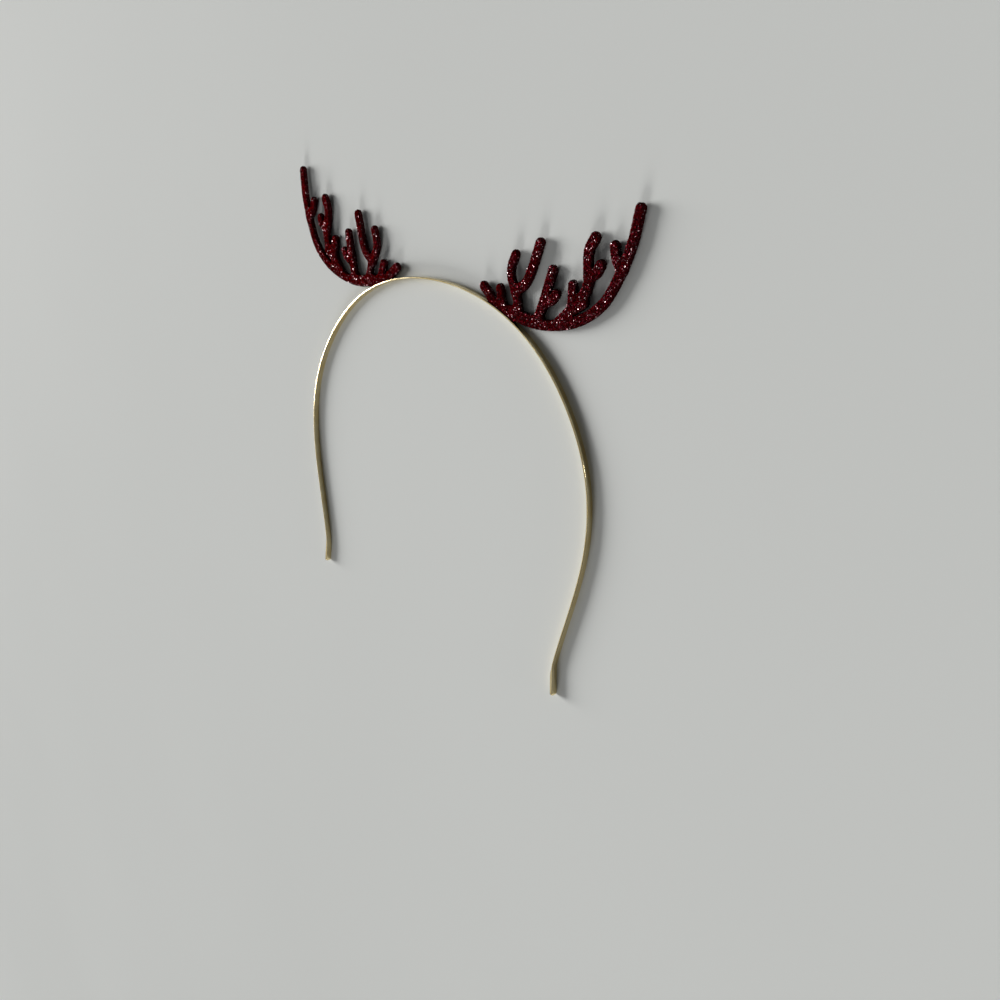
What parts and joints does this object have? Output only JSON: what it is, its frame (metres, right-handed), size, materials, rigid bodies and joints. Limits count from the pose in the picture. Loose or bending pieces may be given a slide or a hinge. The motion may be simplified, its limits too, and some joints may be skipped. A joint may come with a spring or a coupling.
{
  "type": "reindeer antler headband",
  "caption": "Thin polished gold metal headband with flared, folded ends, carrying a pair of flat cut-out burgundy glitter antlers on its outer face.",
  "frame": {"origin": "crown of the band, at mid-thickness, on its rear edge, which is the edge it lies on", "axes": "+X towards the wearer's left, +Y towards the wearer's crown and the antlers' tips, +Z towards the wearer's front, which is up as the headband lies on its side"},
  "size_m": [0.161, 0.1552, 0.0022],
  "materials": {
    "polished_gold": "polished pale gold plate on a springy metal strip",
    "burgundy_glitter": "stiff plate covered all over in fine burgundy glitter"
  },
  "bodies": {
    "root": {"band": "polished_gold", "antler_left": "burgundy_glitter", "antler_right": "burgundy_glitter"}
  },
  "joints": []
}
